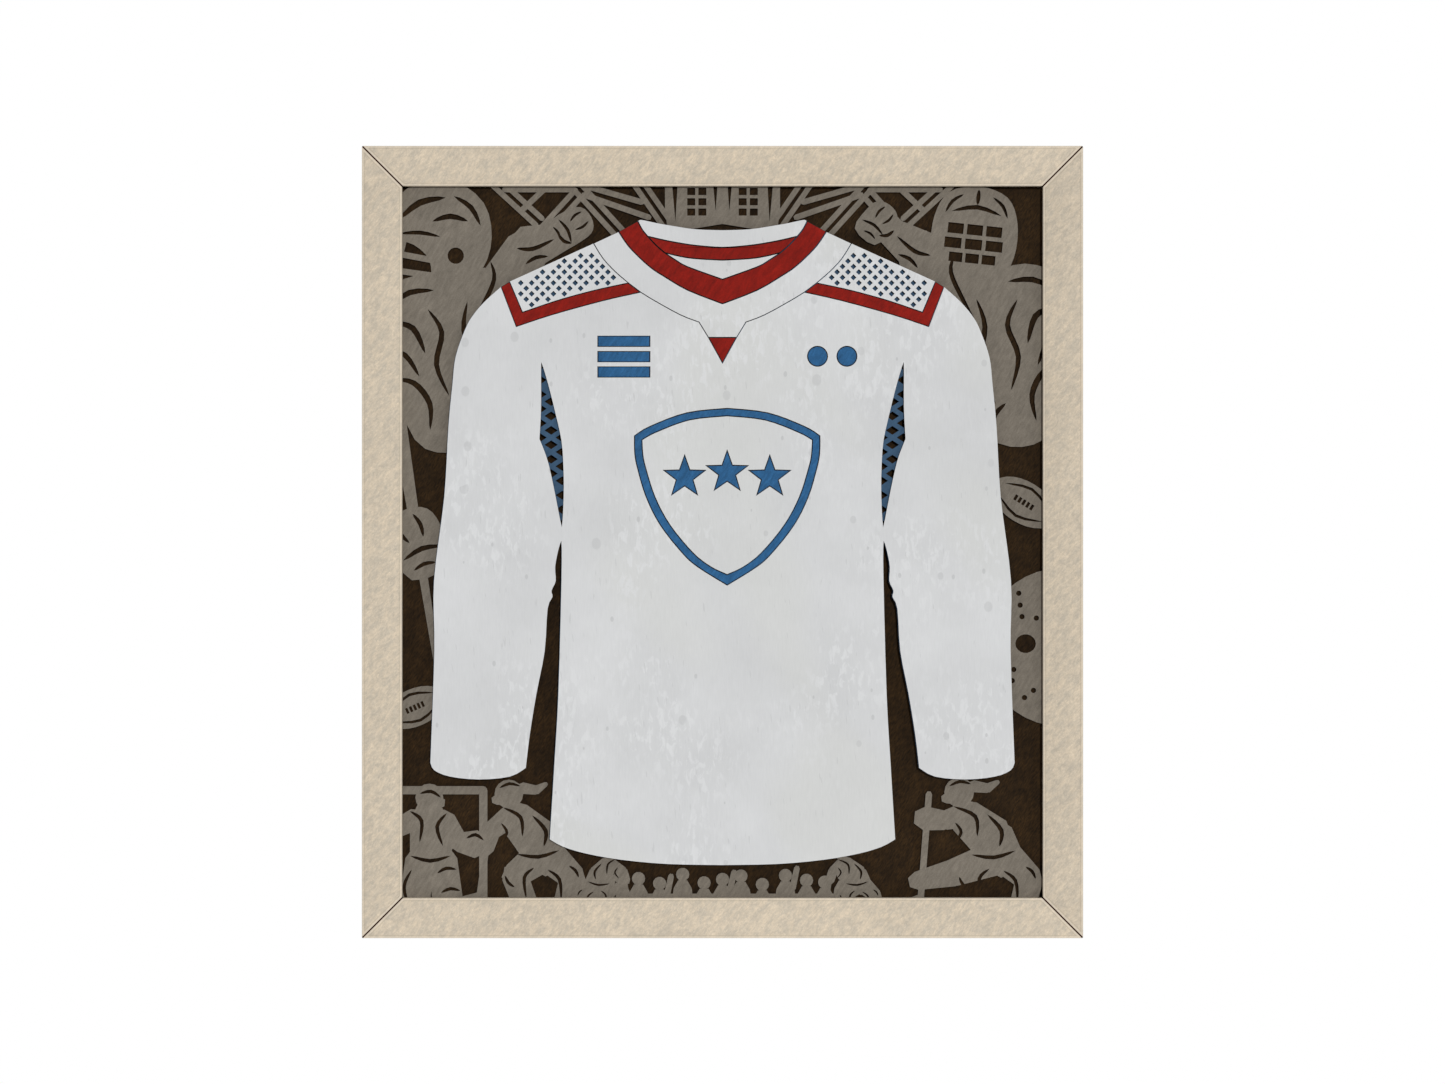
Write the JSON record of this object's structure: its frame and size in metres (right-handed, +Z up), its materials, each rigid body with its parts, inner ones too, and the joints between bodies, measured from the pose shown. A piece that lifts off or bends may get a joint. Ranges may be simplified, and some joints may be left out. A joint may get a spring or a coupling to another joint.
{
  "type": "jersey display frame",
  "caption": "Layered cut plywood jersey plaque in a mitred, rabbeted frame, with turn buttons, D-rings and wall pads on its back.",
  "frame": {"origin": "on the wall plane behind the frame, midway between the axes of the two hanging rings", "axes": "+Z up, the long way of the frame; +X to the right seen from the front; +Y into the wall, so the jersey faces -Y"},
  "size_m": [0.4, 0.0195, 0.4394],
  "materials": {
    "cream_paint": "cream painted wood, matt",
    "white_paint": "white painted birch plywood, matt",
    "red_paint": "red painted plywood, matt",
    "blue_paint": "blue painted plywood, matt",
    "grey_stain": "grey-brown stained plywood, matt",
    "brown_stain": "dark brown stained plywood, matt",
    "zinc_plated_steel": "zinc plated",
    "black_rubber": "matt"
  },
  "bodies": {
    "frame": {"rail_top": "cream_paint", "rail_bottom": "cream_paint", "rail_left": "cream_paint", "rail_right": "cream_paint", "jersey_front": "white_paint", "collar_band": "white_paint", "back_neck_band": "white_paint", "neck_insert": "white_paint", "yoke_left": "white_paint", "yoke_right": "white_paint", "shield_field": "white_paint", "collar_trim": "red_paint", "back_neck_trim": "red_paint", "shoulder_stripe_left": "red_paint", "shoulder_stripe_right": "red_paint", "collar_gusset": "red_paint", "chest_bar_1": "blue_paint", "chest_bar_2": "blue_paint", "chest_bar_3": "blue_paint", "chest_dot_1": "blue_paint", "chest_dot_2": "blue_paint", "shield_ring": "blue_paint", "crest_star_1": "blue_paint", "crest_star_2": "blue_paint", "crest_star_3": "blue_paint", "jersey_backer": "blue_paint", "fretwork_panel": "grey_stain", "back_panel": "brown_stain", "corner_wedge_1": "zinc_plated_steel", "corner_wedge_2": "zinc_plated_steel", "corner_wedge_3": "zinc_plated_steel", "corner_wedge_4": "zinc_plated_steel", "button_screw_1": "zinc_plated_steel", "button_screw_2": "zinc_plated_steel", "button_screw_3": "zinc_plated_steel", "button_screw_4": "zinc_plated_steel", "button_screw_5": "zinc_plated_steel", "button_screw_6": "zinc_plated_steel", "hanger_strap_left": "zinc_plated_steel", "hanger_strap_right": "zinc_plated_steel", "hanger_screw_left": "zinc_plated_steel", "hanger_screw_right": "zinc_plated_steel", "bumper_1": "black_rubber", "bumper_2": "black_rubber", "bumper_3": "black_rubber", "bumper_4": "black_rubber"},
    "hanger_ring_left": {"hanger_ring_left": "zinc_plated_steel"},
    "hanger_ring_right": {"hanger_ring_right": "zinc_plated_steel"},
    "turn_button_1": {"turn_button_1": "zinc_plated_steel"},
    "turn_button_2": {"turn_button_2": "zinc_plated_steel"},
    "turn_button_3": {"turn_button_3": "zinc_plated_steel"},
    "turn_button_4": {"turn_button_4": "zinc_plated_steel"},
    "turn_button_5": {"turn_button_5": "zinc_plated_steel"},
    "turn_button_6": {"turn_button_6": "zinc_plated_steel"}
  },
  "joints": [
    {"name": "turn_button_1_pivot", "type": "hinge", "parent": "frame", "child": "turn_button_1", "pos_m": [-0.19165, -0.00495, -0.058], "axis": [0, 1, 0], "range_deg": [0, 90]},
    {"name": "turn_button_2_pivot", "type": "hinge", "parent": "frame", "child": "turn_button_2", "pos_m": [-0.19165, -0.00495, -0.215], "axis": [0, 1, 0], "range_deg": [0, 90]},
    {"name": "turn_button_3_pivot", "type": "hinge", "parent": "frame", "child": "turn_button_3", "pos_m": [0, -0.00495, -0.33135], "axis": [0, 1, 0], "range_deg": [0, 90]},
    {"name": "turn_button_4_pivot", "type": "hinge", "parent": "frame", "child": "turn_button_4", "pos_m": [0.19165, -0.00495, -0.215], "axis": [0, 1, 0], "range_deg": [0, 90]},
    {"name": "turn_button_5_pivot", "type": "hinge", "parent": "frame", "child": "turn_button_5", "pos_m": [0.19165, -0.00495, -0.058], "axis": [0, 1, 0], "range_deg": [0, 90]},
    {"name": "turn_button_6_pivot", "type": "hinge", "parent": "frame", "child": "turn_button_6", "pos_m": [0, -0.00495, 0.09135], "axis": [0, 1, 0], "range_deg": [0, 90]},
    {"name": "hanger_ring_left_swing", "type": "hinge", "parent": "frame", "child": "hanger_ring_left", "pos_m": [-0.19065, -0.0033, 0], "axis": [1, 0, 0], "range_deg": [0, 180]},
    {"name": "hanger_ring_right_swing", "type": "hinge", "parent": "frame", "child": "hanger_ring_right", "pos_m": [0.19065, -0.0033, 0], "axis": [1, 0, 0], "range_deg": [0, 180]}
  ]
}
